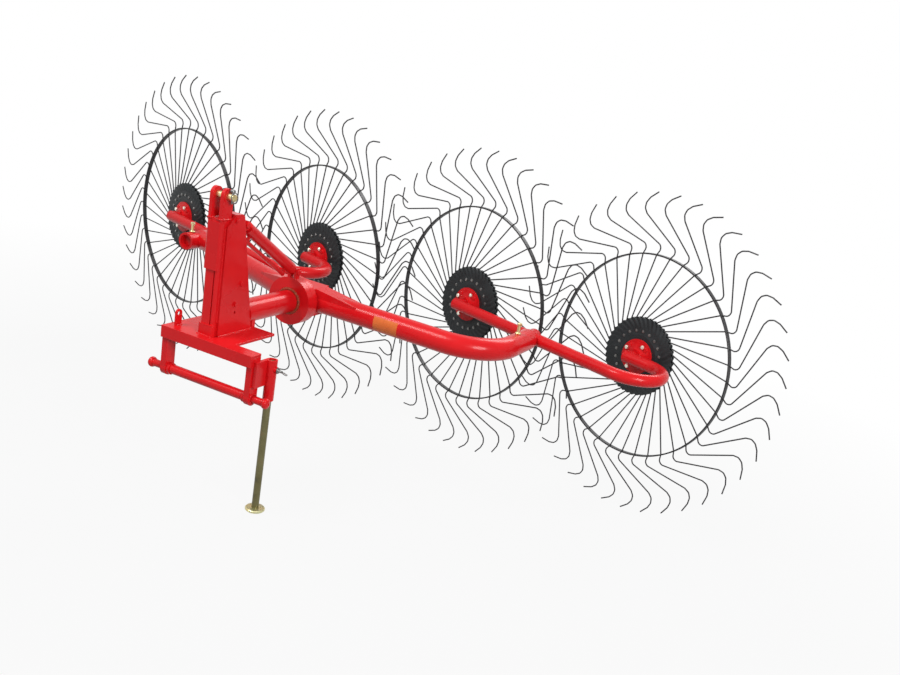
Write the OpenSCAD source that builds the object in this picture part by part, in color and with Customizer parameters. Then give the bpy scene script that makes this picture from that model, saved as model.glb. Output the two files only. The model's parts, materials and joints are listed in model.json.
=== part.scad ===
// Rotary hay rake: a three-point headstock on a parking stand, a boom that
// rolls about a fore-and-aft tube, two rocking arms and four tined wheels.
// Millimetres. +X to the right seen from the front, +Y to the rear, +Z up.
// The origin is the middle of the stand foot's underside, on the ground.

/* [Wheels] */
// Radius at the tine tips, which is also the height of the hubs
tip_r = 682; // [660:1:710]
// Radius of the steel ring that carries the tines
ring_r = 430; // [405:1:450]
// Width of the ring along the axle
ring_w = 20; // [14:1:30]
// Thickness of the ring
ring_t = 6; // [4:0.5:10]
// Tines on each wheel
tine_n = 40; // [24:4:40]
// Thickness of a tine
tine_d = 6.5; // [5:0.5:8]
// Radius of the black discs that clamp the tines
disc_r = 168; // [150:1:190]
// Thickness of a black disc
disc_t = 10; // [6:0.5:12]
// Depth of the teeth on the disc's rim
disc_tooth = 7; // [3:0.5:10]
// Radius of the red hub's flange
dish_r = 74; // [64:1:90]
// Radius of the hub's barrel
barrel_r = 34; // [30:1:40]
// Diameter of the wheel axle
axle_d = 40; // [30:1:48]
// Distance between neighbouring hubs
hub_step = 814; // [780:1:860]
// Angle between the wheels and the cross direction
skew = 19.5; // [17:0.5:22]
// Distance of the hubs behind the stand
hub_y = 1210; // [1190:1:1260]

/* [Rocking arms] */
// Diameter of the arm tube
arm_d = 51; // [45:1:58]
// Distance of the arm in front of its wheel
arm_gap = 75; // [72:1:95]
// Place of the front arm's pivot, from its first hub
pivot_front = 400; // [350:1:450]
// Place of the rear arm's pivot, from its first hub
pivot_rear = 450; // [350:1:480]
// How far the hook runs out past the second hub
hook_out = 105; // [80:1:140]
// Diameter of the pivot shaft
shaft_d = 45; // [38:1:46]

/* [Boom] */
// Diameter of the boom tube
boom_d = 89; // [80:1:96]
// Bend radius of the right end
bend_r = 200; // [150:1:205]
// Diameter of the sleeve at the left end
sleeve_d = 78; // [72:1:86]
// Length of the pivot sleeve
sleeve_l = 160; // [130:1:180]
// Distance of the boom behind the stand
boom_y = 560; // [545:1:565]
// Diameter of the two swivel flanges
flange_d = 192; // [170:1:210]
// Thickness of one flange
flange_t = 30; // [22:1:36]
// Diameter of the swivel shaft
roll_d = 60; // [50:1:66]

/* [Headstock] */
// Width of the mast's post
mast_w = 58; // [54:1:72]
// Height of the mast above the base plate
mast_h = 436; // [420:1:450]
// Height of the top link pin above the mast
pin_rise = 63; // [52:1:75]
// Diameter of the top link pin
top_pin_d = 25; // [22:0.5:28]
// Distance of the hitch bar below the base plate
bar_drop = 166; // [150:1:180]
// Diameter of the hitch bar
bar_d = 28; // [22:1:30]
// Distance from the middle of the hitch bar to each leg
leg_half = 188; // [180:1:205]
// Distance of the mast from the middle of the hitch bar
mast_off = 40; // [30:1:45]
// Free length of each lower hitch pin
hitch_pin_l = 62; // [50:1:90]
// Distance of the base plate's upper face below the hubs
base_drop = 56; // [54:1:66]
// Diameter of the stand leg
stand_d = 27; // [24:1:32]
// Diameter of the stand foot
foot_d = 74; // [60:1:90]
// Plate thickness
plate = 10; // [8:1:12]

/* [Clearances] */
// Radial clearance of a turning shaft
run = 0.05; // [0.02:0.01:0.09]
// Gap at a seat
seat = 0.3; // [0.2:0.1:0.5]

/* [Hidden] */
$fn = 64;
red = [0.78, 0.06, 0.08];
black = [0.07, 0.07, 0.08];
zinc = [0.78, 0.66, 0.38];
steel = [0.55, 0.55, 0.56];
big = 4000;

// Wheels and arms
hub_z = tip_r;
leg_w = 24;
stand_r = stand_d / 2;
sleeve_half = stand_r + 6.5;
frame_x = -(leg_half + leg_w / 2 + sleeve_half);
mast_x = frame_x - mast_off;
row_x0 = mast_x - hub_step * 1.4505;
function hub_x(k) = row_x0 + hub_step * k;
wheel_lat = hub_step * cos(skew);
wheel_back = hub_step * sin(skew);
half_tine = tine_d / 2;
disc_front = -half_tine - seat - disc_t;
disc_back = half_tine + seat + disc_t;
dish_rise = 20;
barrel_front = -arm_gap + arm_d / 2 + 8;
barrel_back = disc_back + 34;
axle_end = barrel_back - 12;
hook_r = wheel_back / 2;
hook_x = wheel_lat + hook_out;
arm_over = 20;

// Pivot of an arm whose first hub is k, in the part's frame
function piv_s(k) = k == 0 ? pivot_front : pivot_rear;
function piv(k) = [hub_x(k) + piv_s(k) * cos(skew) - arm_gap * sin(skew),
                   hub_y - piv_s(k) * sin(skew) - arm_gap * cos(skew), hub_z];
sleeve_back = arm_d / 2 / cos(skew) + boom_d / 2 * tan(skew) + 7;
collar_l = sleeve_back - arm_d / 2 - 3;
shaft_l = sleeve_back + sleeve_l - 22;
lock_y = sleeve_back + sleeve_l - 42;

// Boom swivel
flange_gap = 1;
block_w = 140;
block_h = 116;
block_y0 = boom_y - 57;
block_y1 = boom_y + 57;
boom_flange_y = block_y0 - flange_t;
fixed_flange_y = boom_flange_y - flange_gap - flange_t;

// Headstock
base_z = hub_z - base_drop;
mast_top = base_z + mast_h;
top_pin_z = mast_top + pin_rise;
bar_z = base_z - bar_drop;
base_front = -98;
base_back = 188;
base_half = leg_half + leg_w / 2;
base_lip = 45;
notch = 112;
leg_front = base_front + plate;
leg_deep = 48;
leg_back = leg_front + leg_deep;
bar_mid_d = bar_d + 8;
boss_d = bar_mid_d + 16;
bar_y = leg_front + leg_deep / 2;
mast_in = 46;
mast_front = base_front + mast_in;
mast_foot_back = 160;
mast_top_back = 58;
post_d = 58;
post_round = 11;
post_drop = 26;
post_top = mast_top - post_drop;
side_in = 20;
side_front = mast_front + side_in;
stand_sleeve_z0 = bar_z - 12;
stand_sleeve_z1 = base_z - 24;
foot_t = 12;
stand_top = stand_sleeve_z1 - 6;
lock_z = stand_sleeve_z1 - 34;
ear_t = 13;
ear_w = 54;
ear_y = mast_front + ear_w / 2 - 5;
ear_gap = mast_w - 2 * ear_t;
corner = 8;
slope = (mast_foot_back - mast_top_back) / (mast_top - corner - base_z);
lean = atan(slope);
function mast_back_y(z) = mast_foot_back - slope * (z - base_z);
brace_r = 23;
rod_r = 8;
rod_drop = 42;
brace_top = [0, mast_back_y(mast_top - 46) + 34, mast_top - 46];
brace_low = [0, fixed_flange_y + flange_t / 2, hub_z + flange_d / 2 + 24];
brace_run = sqrt(pow(brace_low[1] - brace_top[1], 2) + pow(brace_low[2] - brace_top[2], 2));
brace_fall = atan2(brace_low[2] - brace_top[2], brace_low[1] - brace_top[1]);
bolt_d = 14;
lug_t = 9;
eye_t = 20;
lug_in = eye_t / 2 + seat;

// Places
module at_hub(k) translate([hub_x(k), hub_y, hub_z]) rotate([0, 0, -skew]) children();
module at_pivot(k) translate(piv(k)) children();
module along_y(d, y0, y1) translate([0, y1, 0]) rotate([90, 0, 0]) cylinder(d = d, h = y1 - y0);
module along_x(d, x0, x1) translate([x0, 0, 0]) rotate([0, 90, 0]) cylinder(d = d, h = x1 - x0);

// Mast: a round-cornered post with two collars, between two side plates
collar_h = 170;
foot_collar_h = 42;
collar_out = 6;
collar_side = 4;
collar_free = 2;
groove_in = 17;
groove_w = 5;
groove_deep = 8;
chamfer = 42;
module mast_profile() polygon([[side_front, base_z], [mast_foot_back, base_z], [mast_top_back, mast_top - corner],
    [mast_top_back - 1.2 * corner, mast_top], [side_front + chamfer, mast_top], [side_front, mast_top - chamfer]]);
module side_extrude(x0, w) translate([x0, 0, 0]) rotate([90, 0, 90]) linear_extrude(w) children();
module mast_sides() color(red) for (x = [mast_x - mast_w / 2 - plate, mast_x + mast_w / 2])
    difference() {
        side_extrude(x, plate) mast_profile();
        for (p = [[0.24, 0.955], [0.54, 0.42], [0.42, 0.25], [0.44, 0.18]])
            translate([x - 1, side_front + p[0] * (mast_foot_back - side_front), base_z + p[1] * mast_h])
                along_x(plate + 1, 0, plate + 2);
    }
module post_shape(w, d) translate([mast_x - w / 2 + post_round, post_round]) offset(r = post_round)
    square([w - 2 * post_round, d - 2 * post_round]);
module mast_post() color(red) difference() {
    union() {
        translate([0, mast_front, base_z]) linear_extrude(post_top - base_z) post_shape(mast_w, post_d);
        translate([0, mast_front - collar_out, post_top - collar_h]) linear_extrude(collar_h)
            post_shape(mast_w + 2 * collar_side, side_front - mast_front + collar_out - collar_free);
        translate([0, mast_front - collar_out, base_z]) linear_extrude(foot_collar_h)
            post_shape(mast_w + 2 * collar_side, side_front - mast_front + collar_out - collar_free);
    }
    translate([mast_x + mast_w / 2 - groove_in, mast_front - groove_w, base_z + foot_collar_h])
        cube([groove_w, groove_w + groove_deep, post_top - base_z - collar_h - foot_collar_h]);
}
module mast_back() color(red) difference() {
    union() {
        intersection() {
            side_extrude(mast_x - mast_w / 2, mast_w) mast_profile();
            union() {
                translate([mast_x - big / 2, mast_foot_back, base_z]) rotate([lean, 0, 0])
                    translate([0, -plate, -mast_h / 2]) cube([big, plate, big]);
                translate([mast_x - big / 2, mast_front + post_d + 6, mast_top - plate]) cube([big, mast_foot_back, plate]);
            }
        }
        for (s = [-1, 1]) translate([mast_x + s * (lug_in + lug_t / 2), 0, 0]) side_extrude(-lug_t / 2, lug_t)
            polygon([[mast_back_y(brace_top[2] + 26) - 2, brace_top[2] + 26], [brace_top[1] + 16, brace_top[2] + 12],
                [brace_top[1] + 16, brace_top[2] - 14], [mast_back_y(brace_top[2] - 30) - 2, brace_top[2] - 30]]);
    }
    translate([mast_x, brace_top[1], brace_top[2]]) along_x(bolt_d + 2 * seat, -60, 60);
}
module ear(x) translate([x, 0, 0]) rotate([90, 0, 90]) linear_extrude(ear_t) difference() {
    union() {
        translate([ear_y - ear_w / 2, post_top]) square([ear_w, top_pin_z - post_top]);
        translate([ear_y, top_pin_z]) circle(d = ear_w);
    }
    translate([ear_y, top_pin_z]) circle(d = top_pin_d + 2 * seat);
}
module top_clevis() color(red) union() {
    ear(mast_x - ear_gap / 2 - ear_t);
    ear(mast_x + ear_gap / 2);
    translate([0, mast_front - 3, post_top]) linear_extrude(plate) post_shape(mast_w, post_d + 3);
}
pin_half = ear_gap / 2 + ear_t;
module top_link_pin() color(zinc) translate([mast_x, ear_y, top_pin_z]) difference() {
    union() {
        along_x(top_pin_d, -pin_half - 6, pin_half + 26);
        along_x(top_pin_d + 14, -pin_half - 6, -pin_half - 0.5);
    }
    translate([pin_half + 14, 0, -30]) cylinder(d = 9, h = 60);
}
module linch_pin() color(zinc) translate([mast_x + pin_half + 14, ear_y, top_pin_z]) union() {
    translate([0, 0, -22]) cylinder(d = 8, h = 22 + top_pin_d / 2 + 8);
    translate([0, 0, top_pin_d / 2 + 8 + seat]) rotate([0, 90, 0]) translate([0, 0, -7]) cylinder(d = 16, h = 14);
    translate([9, 0, 0]) rotate([0, 90, 0]) rotate_extrude() translate([top_pin_d / 2 + 6, 0]) circle(d = 5);
}

// Base, legs and hitch bar
module base_channel() color(red) union() {
    translate([frame_x - base_half, base_front, base_z - plate])
        cube([2 * base_half - notch, base_back - base_front, plate]);
    translate([frame_x - base_half, base_front, base_z - plate]) cube([2 * base_half, plate + leg_deep, plate]);
    translate([frame_x - base_half, base_front, base_z - base_lip]) cube([2 * base_half, plate, base_lip]);
}
// The legs stand behind the base's lip and under its top, and end round about the bar
module hitch_leg(s) translate([frame_x + s * leg_half, 0, 0]) difference() {
    union() {
        translate([-leg_w / 2, leg_front, bar_z]) cube([leg_w, leg_deep, base_z - plate - bar_z]);
        translate([0, bar_y, bar_z]) along_x(boss_d, -leg_w / 2, leg_w / 2);
    }
    translate([0, bar_y, bar_z]) along_x(bar_mid_d + 2 * seat, -leg_w, leg_w);
}
module hitch_legs() color(red) for (s = [-1, 1]) hitch_leg(s);
module hitch_bar() color(red) translate([frame_x, bar_y, bar_z]) union() {
    along_x(bar_d, -leg_half - leg_w / 2 - hitch_pin_l, leg_half + leg_w / 2 + hitch_pin_l);
    along_x(bar_mid_d, -leg_half - leg_w / 2, leg_half + leg_w / 2);
    for (s = [-1, 1]) translate([s * (leg_half - leg_w / 2 - 6.5), 0, 0]) along_x(bar_mid_d + 8, -6, 6);
}
module eye_bracket() color(red) difference() {
    translate([frame_x - base_half + 28, base_front + 50, base_z]) union() {
        translate([0, -16, 0]) cube([8, 32, 44]);
        translate([0, 0, 44]) along_x(32, 0, 8);
    }
    translate([frame_x - base_half + 20, base_front + 50, base_z + 44]) along_x(15, 0, 30);
}

// Stand
module stand_sleeve() color(red) difference() {
    union() {
        translate([0, 0, stand_sleeve_z0]) cylinder(r = sleeve_half, h = stand_sleeve_z1 - stand_sleeve_z0);
        translate([-sleeve_half, leg_front + 8, lock_z - 62]) cube([14, -leg_front - 8, stand_sleeve_z1 - lock_z + 62]);
        translate([0, 0, lock_z]) along_x(24, 0, sleeve_half + 6);
    }
    translate([0, 0, stand_sleeve_z0 - 1]) cylinder(r = stand_r + run, h = stand_sleeve_z1 - stand_sleeve_z0 + 2);
    translate([0, 0, lock_z]) along_x(14 + 2 * seat, 0, sleeve_half + 7);
}
module stand_lock_pin() color(zinc) translate([0, 0, lock_z]) union() {
    along_x(14, stand_r + seat, sleeve_half + 50);
    along_x(22, sleeve_half + 6 + seat, sleeve_half + 14);
    translate([sleeve_half + 44, 0, 0]) along_x(20, -6, 6);
}
module stand_leg() color(zinc) translate([0, 0, foot_t]) cylinder(r = stand_r, h = stand_top - foot_t);
module stand_foot() color(zinc) rotate_extrude() polygon([[0, 0], [foot_d / 2 - 4, 0], [foot_d / 2, 4],
    [foot_d / 2, foot_t - 3], [foot_d / 2 - 3, foot_t], [0, foot_t]]);

// Swivel tube, its flange and brace
module pivot_tube() color(red) translate([mast_x, 0, hub_z]) difference() {
    union() {
        along_y(boom_d, 0, fixed_flange_y + 1);
        along_y(flange_d, fixed_flange_y, fixed_flange_y + flange_t);
        for (s = [-1, 1]) translate([s * (lug_in + lug_t / 2), 0, -hub_z]) side_extrude(-lug_t / 2, lug_t)
            polygon([[fixed_flange_y + 1, hub_z + flange_d / 2 - 12], [fixed_flange_y + flange_t - 1, hub_z + flange_d / 2 - 12],
                [fixed_flange_y + flange_t - 1, brace_low[2] + 14], [fixed_flange_y + 1, brace_low[2] + 14]]);
    }
    translate([0, 0, 0]) along_y(roll_d + 2 * run, -10, fixed_flange_y + flange_t + 1);
    translate([-big / 2, 0, -hub_z]) side_extrude(0, big) polygon([[-big, 0], [mast_foot_back + slope * base_z, 0],
        [mast_back_y(2 * base_z), 2 * base_z], [-big, 2 * base_z]]);
    translate([0, brace_low[1], brace_low[2] - hub_z]) along_x(bolt_d + 2 * seat, -60, 60);
}
module tube_saddle() color(red) difference() {
    translate([mast_x - 38, mast_foot_back + 4, base_z]) cube([76, base_back - mast_foot_back - 8, hub_z - base_z]);
    translate([mast_x, 0, hub_z]) along_y(boom_d + 2 * seat, 0, 2 * base_back);
}
module brace_strut() color(red) translate([mast_x, brace_top[1], brace_top[2]]) rotate([brace_fall, 0, 0]) difference() {
    union() {
        along_y(2 * brace_r, 30, brace_run - 30);
        for (y = [0, brace_run]) {
            along_x_at(y, 28);
            translate([-eye_t / 2, y == 0 ? 0 : brace_run - 34, -12]) cube([eye_t, 34, 24]);
        }
        translate([0, 0, -rod_drop]) along_y(2 * rod_r, 44, brace_run - 62);
        for (y = [58, brace_run - 76]) translate([-5, y, -rod_drop]) cube([10, 10, rod_drop]);
    }
    for (y = [0, brace_run]) translate([0, y, 0]) along_x(bolt_d + 2 * seat, -40, 40);
}
module along_x_at(y, d) translate([0, y, 0]) along_x(d, -eye_t / 2, eye_t / 2);
bolt_half = lug_in + lug_t;
module brace_bolts() color(zinc) for (p = [brace_top, brace_low]) translate([mast_x, p[1], p[2]]) {
    along_x(bolt_d, -bolt_half - 9, bolt_half + 9);
    for (x = [-bolt_half - 9, bolt_half + seat]) along_x(bolt_d + 9, x, x + 9 - seat);
}

// Boom
module boom_flange() color(red) translate([mast_x, 0, hub_z]) union() {
    along_y(flange_d, boom_flange_y, boom_flange_y + flange_t);
    along_y(roll_d, mast_foot_back + 20, boom_flange_y + 1);
}
module boom_block() color(red) translate([mast_x - block_w / 2, block_y0, hub_z - block_h / 2])
    cube([block_w, block_y1 - block_y0, block_h]);
left_dx = mast_x - block_w / 2 - piv(0)[0];
left_end_y = piv(0)[1] - sleeve_back - 48;
left_turn = atan2(left_end_y - boom_y, left_dx);
left_l = sqrt(pow(left_dx, 2) + pow(left_end_y - boom_y, 2));
wedge_w = 78;
wedge_l = 190;
wedge_low = 32;
module wedge(l) translate([0, wedge_w / 2, 0]) rotate([90, 0, 0]) linear_extrude(wedge_w)
    polygon([[-block_w / 3, 0], [-block_w / 3, block_h / 2], [0, block_h / 2], [l, wedge_low], [l, 0]]);
module boom_left() color(red) difference() {
    union() {
        translate([mast_x - block_w / 2, boom_y, hub_z]) rotate([0, 0, 180 - left_turn]) {
            along_x(boom_d, -block_w, left_l);
            wedge(wedge_l);
        }
        at_pivot(0) along_y(sleeve_d, -sleeve_back - sleeve_l, -sleeve_back);
    }
    translate([mast_x - block_w / 2, boom_y - big / 2, hub_z - big / 2]) cube(big);
    at_pivot(0) pivot_bore();
}
module pivot_bore() {
    along_y(shaft_d + 2 * run, -sleeve_back - sleeve_l - 1, -sleeve_back + 1);
    along_y(shaft_d + 14, -sleeve_back - sleeve_l - 1, -shaft_l + 2);
    translate([0, -lock_y, 0]) cylinder(d = 12 + 2 * seat, h = boom_d);
}
right_x = piv(2)[0];
right_end_y = piv(2)[1] - sleeve_back;
module boom_right() color(red) difference() {
    union() {
        translate([0, boom_y, hub_z]) along_x(boom_d, mast_x + block_w / 2, right_x - bend_r);
        translate([right_x - bend_r, boom_y + bend_r, hub_z]) rotate([0, 0, -90])
            rotate_extrude(angle = 90) translate([bend_r, 0]) circle(d = boom_d);
        translate([right_x, 0, hub_z]) along_y(boom_d, boom_y + bend_r, right_end_y);
        intersection() {
            translate([mast_x + block_w / 2, boom_y, hub_z]) wedge(wedge_l);
            translate([mast_x + block_w / 2, boom_y - big / 2, hub_z - big / 2]) cube(big);
        }
    }
    at_pivot(2) {
        along_y(shaft_d + 2 * run, -shaft_l - 6, -sleeve_back + 1);
        translate([0, -lock_y, 0]) cylinder(d = 12 + 2 * seat, h = boom_d);
    }
}
groove_d = shaft_d - 10;
lock_out = 46;
module lock_pin(d) translate([0, -lock_y, 0]) union() {
    translate([0, 0, groove_d / 2 + 1]) cylinder(d = 12, h = d / 2 - groove_d / 2 + lock_out);
    translate([0, 0, d / 2 + seat]) cylinder(d = 22, h = 6);
}
module pivot_lock_pins() color(zinc) {
    at_pivot(0) lock_pin(sleeve_d);
    at_pivot(2) lock_pin(boom_d);
}

// Rocking arms: a straight arm with the pivot shaft and the first axle, a half
// bend, and an end with the second axle, butt-welded face to face
module axle_boss() {
    along_y(axle_d, -arm_gap, axle_end);
    along_y(axle_d + 9, -arm_gap, -arm_gap + arm_d / 2 + 4);
}
module pivot_shaft() difference() {
    along_y(shaft_d, -shaft_l, 0);
    difference() {
        along_y(shaft_d + 20, -lock_y - 8, -lock_y + 8);
        along_y(groove_d, -lock_y - 9, -lock_y + 9);
    }
}
module rocker_arm(k) union() {
    at_hub(k) {
        translate([0, -arm_gap, 0]) along_x(arm_d, -arm_over, hook_x);
        axle_boss();
    }
    at_pivot(k) {
        pivot_shaft();
        along_y(shaft_d + 20, -arm_d / 2 - collar_l, arm_d / 2 + 5);
    }
}
module rocker_bend(k) at_hub(k) translate([hook_x, hook_r - arm_gap, 0]) rotate([0, 0, -90])
    rotate_extrude(angle = 180) translate([hook_r, 0]) circle(d = arm_d);
module rocker_end(k) at_hub(k) union() {
    translate([0, wheel_back - arm_gap, 0]) along_x(arm_d, wheel_lat - arm_over, hook_x);
    translate([wheel_lat, wheel_back, 0]) axle_boss();
}
module rocker_front_arm() color(red) rocker_arm(0);
module rocker_front_bend() color(red) rocker_bend(0);
module rocker_front_end() color(red) rocker_end(0);
module rocker_rear_arm() color(red) rocker_arm(2);
module rocker_rear_bend() color(red) rocker_bend(2);
module rocker_rear_end() color(red) rocker_end(2);

// Wheels
module wheel_hub() color(red) difference() {
    union() {
        rotate([-90, 0, 0]) rotate_extrude() polygon([[0, barrel_front], [barrel_r, barrel_front],
            [barrel_r, disc_front - dish_rise], [dish_r - 6, disc_front - 8], [dish_r, disc_front - 8],
            [dish_r, disc_front], [barrel_r, disc_front], [barrel_r, barrel_back - 6],
            [barrel_r - 6, barrel_back], [0, barrel_back]]);
        for (a = [45:90:315]) rotate([0, a, 0]) translate([dish_r - 17, 0, 0]) along_y(17, disc_front - 17, disc_front - 2);
    }
    along_y(axle_d + 2 * run, barrel_front - 1, axle_end + 2);
}
module toothed() difference() {
    polygon([for (i = [0:tine_n - 1], s = [0:1]) let (a = (i + s * 0.62) * 360 / tine_n,
        r = disc_r - s * disc_tooth) [r * cos(a), r * sin(a)]]);
    circle(r = barrel_r + seat);
}
module wheel_discs() color(black) for (y = [disc_front, half_tine + seat])
    translate([0, y + disc_t, 0]) rotate([90, 0, 0]) linear_extrude(disc_t) toothed();
module wheel_ring() rotate([-90, 0, 0]) rotate_extrude()
    translate([ring_r - ring_t / 2, -ring_w / 2]) square([ring_t, ring_w]);

// One tine: a slanted spoke, a tight bend outside the ring, a long swept run
// and a short hooked tip, as polar points seen from the front
tip_span = tip_r - ring_r;
function pol(r, a) = [r * cos(a), r * sin(a)];
spoke_a = pol(disc_r, 0);
spoke_b = pol(ring_r, -24);
spoke_dir = (spoke_b - spoke_a) / norm(spoke_b - spoke_a);
tip_deg = -11.5;
tine_path = [spoke_a - spoke_dir * 44, spoke_b,
    pol(ring_r + tip_span * 0.10, -26), pol(ring_r + tip_span * 0.17, -25), pol(ring_r + tip_span * 0.55, -9.5),
    pol(ring_r + tip_span * 0.64, -7.1), pol(ring_r + tip_span * 0.73, -6.1), pol(ring_r + tip_span * 0.82, -6.6),
    pol(ring_r + tip_span * 0.90, -8.3), pol(tip_r - half_tine, tip_deg)];
tip_turn = -90 - tip_deg;
function unit(v) = v / norm(v);
function tine_dir(i) = let (n = len(tine_path)) i == 0 ? unit(tine_path[1] - tine_path[0])
    : i == n - 1 ? unit(tine_path[i] - tine_path[i - 1])
    : unit(unit(tine_path[i] - tine_path[i - 1]) + unit(tine_path[i + 1] - tine_path[i]));
tine_points = [for (i = [0:len(tine_path) - 1]) let (p = tine_path[i], d = tine_dir(i), s = [-d[1], d[0]] * half_tine)
    each [[p[0] + s[0], -half_tine, p[1] + s[1]], [p[0] + s[0], half_tine, p[1] + s[1]],
          [p[0] - s[0], half_tine, p[1] - s[1]], [p[0] - s[0], -half_tine, p[1] - s[1]]]];
tine_last = 4 * (len(tine_path) - 1);
tine_faces = concat([[3, 2, 1, 0]], [for (i = [0:len(tine_path) - 2], j = [0:3])
    [4 * i + (j + 1) % 4, 4 * i + 4 + (j + 1) % 4, 4 * i + 4 + j, 4 * i + j]],
    [[for (j = [0:3]) tine_last + j]]);
// The tines pass through the ring and are one piece with it
module wheel_tines() color(black) union() {
    wheel_ring();
    for (i = [0:tine_n - 1]) rotate([0, -i * 360 / tine_n - tip_turn, 0]) polyhedron(tine_points, tine_faces);
}

module wheel_1_hub() at_hub(0) wheel_hub();
module wheel_1_discs() at_hub(0) wheel_discs();
module wheel_1_tines() at_hub(0) wheel_tines();
module wheel_2_hub() at_hub(1) wheel_hub();
module wheel_2_discs() at_hub(1) wheel_discs();
module wheel_2_tines() at_hub(1) wheel_tines();
module wheel_3_hub() at_hub(2) wheel_hub();
module wheel_3_discs() at_hub(2) wheel_discs();
module wheel_3_tines() at_hub(2) wheel_tines();
module wheel_4_hub() at_hub(3) wheel_hub();
module wheel_4_discs() at_hub(3) wheel_discs();
module wheel_4_tines() at_hub(3) wheel_tines();

mast_post();
mast_sides();
mast_back();
top_clevis();
top_link_pin();
linch_pin();
base_channel();
hitch_legs();
hitch_bar();
stand_sleeve();
stand_lock_pin();
eye_bracket();
pivot_tube();
tube_saddle();
brace_strut();
brace_bolts();
stand_leg();
stand_foot();
boom_flange();
boom_block();
boom_left();
boom_right();
pivot_lock_pins();
rocker_front_arm();
rocker_front_bend();
rocker_front_end();
rocker_rear_arm();
rocker_rear_bend();
rocker_rear_end();
wheel_1_hub();
wheel_1_discs();
wheel_1_tines();
wheel_2_hub();
wheel_2_discs();
wheel_2_tines();
wheel_3_hub();
wheel_3_discs();
wheel_3_tines();
wheel_4_hub();
wheel_4_discs();
wheel_4_tines();
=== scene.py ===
# %% [markdown]
# # A rotary hay rake
# The rake is a farm machine that hangs on a tractor. A headstock carries a
# boom, two hooked arms rock on the boom's ends, and each arm carries two
# tined wheels that the ground turns. The solid model comes in as a fixed
# frame, and this lesson gives it its finish, its round spring wires and the
# small fasteners that a bare solid lacks.

# %% Load the frame
import bpy
import bmesh
import json
import math
from mathutils import Matrix, Vector


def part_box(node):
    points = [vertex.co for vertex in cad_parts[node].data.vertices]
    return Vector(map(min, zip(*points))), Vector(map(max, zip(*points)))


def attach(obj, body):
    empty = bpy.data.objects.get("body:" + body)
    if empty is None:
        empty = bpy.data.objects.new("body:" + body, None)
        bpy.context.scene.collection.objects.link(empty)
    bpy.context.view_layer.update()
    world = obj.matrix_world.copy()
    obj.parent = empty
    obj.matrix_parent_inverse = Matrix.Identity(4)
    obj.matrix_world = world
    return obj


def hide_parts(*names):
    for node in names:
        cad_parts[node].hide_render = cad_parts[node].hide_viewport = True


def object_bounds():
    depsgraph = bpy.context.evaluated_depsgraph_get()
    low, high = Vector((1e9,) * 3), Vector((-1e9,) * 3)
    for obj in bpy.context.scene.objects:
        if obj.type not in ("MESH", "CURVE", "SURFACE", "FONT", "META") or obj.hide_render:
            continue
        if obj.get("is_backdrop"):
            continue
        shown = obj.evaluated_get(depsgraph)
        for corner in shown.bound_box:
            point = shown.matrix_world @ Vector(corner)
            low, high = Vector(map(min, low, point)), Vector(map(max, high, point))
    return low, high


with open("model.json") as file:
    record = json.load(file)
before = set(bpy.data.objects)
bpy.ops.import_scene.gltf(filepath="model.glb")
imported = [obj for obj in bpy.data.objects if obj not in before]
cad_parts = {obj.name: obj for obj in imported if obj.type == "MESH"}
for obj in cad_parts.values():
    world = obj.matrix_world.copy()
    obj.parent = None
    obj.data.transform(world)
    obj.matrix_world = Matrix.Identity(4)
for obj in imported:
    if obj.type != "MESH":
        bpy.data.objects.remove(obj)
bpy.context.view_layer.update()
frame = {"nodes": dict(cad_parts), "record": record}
nodes = frame["nodes"]
record = frame["record"]
joints = {joint["name"]: joint for joint in record["behaviour"]["joints"]}
WHEELS = range(1, 5)
UP = Vector((0, 0, 1))

# %% [markdown]
# ## Camera
# The picture was taken from the front right, a little above the mast. A
# camera could be pushed about by eye, but four wheel rings and the
# headstock's corners are enough to solve its place, angles and focal length,
# so it is built from those numbers. The view is rolled, because the row of
# wheels runs down to the right, and a small lens shift goes with the roll.

# %% Camera
FRAME_W, FRAME_H = 900, 675
FOCAL_PX, CENTRE_PX = 974.4, (480.0, 440.0)
EYE = Vector((1.8914, -2.7690, 1.7492))
AZIMUTH, DOWN, ROLL = (math.radians(a) for a in (-20.91, 21.52, 11.76))


def put_in_scene(name, data):
    """A new object that shows the given data."""
    made = bpy.data.objects.new(name, data)
    bpy.context.scene.collection.objects.link(made)
    return made


flat = math.cos(DOWN)
ahead = Vector((math.sin(AZIMUTH) * flat, math.cos(AZIMUTH) * flat, -math.sin(DOWN)))
level = ahead.cross(UP).normalized()
upward = level.cross(ahead)
right = math.cos(ROLL) * level + math.sin(ROLL) * upward
top = -math.sin(ROLL) * level + math.cos(ROLL) * upward
lens = bpy.data.cameras.new("photo_camera")
lens.sensor_width = 36.0
lens.lens = FOCAL_PX / FRAME_W * lens.sensor_width
lens.shift_x = (FRAME_W / 2 - CENTRE_PX[0]) / FRAME_W
lens.shift_y = (CENTRE_PX[1] - FRAME_H / 2) / FRAME_W
lens.clip_start, lens.clip_end = 0.05, 100
camera = put_in_scene("photo_camera", lens)
camera.matrix_world = Matrix.Translation(EYE) @ Matrix((right, top, -ahead)).transposed().to_4x4()
bpy.context.scene.camera = camera
print("lens mm", round(lens.lens, 2), "shift", round(lens.shift_x, 3), round(lens.shift_y, 3))

# %% [markdown]
# ## White studio
# A machine like this is shown on plain white. A backdrop could be lit until
# it burns out, but that light would wash out the red as well. Here the Light
# Path node shows plain white to the camera and to mirror rays, while all
# other rays see a dimmer room, so the paint keeps its own colour.

# %% White room
WHITE = (1, 1, 1, 1)
ROOM_TINT, ROOM_LIGHT = (0.95, 0.97, 1, 1), 0.28


def add_node(tree, kind, **values):
    """A new node; a keyword sets the input of that name, with _ for a blank."""
    node = tree.nodes.new(kind)
    for key, value in values.items():
        node.inputs[key.replace("_", " ")].default_value = value
    return node


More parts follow.
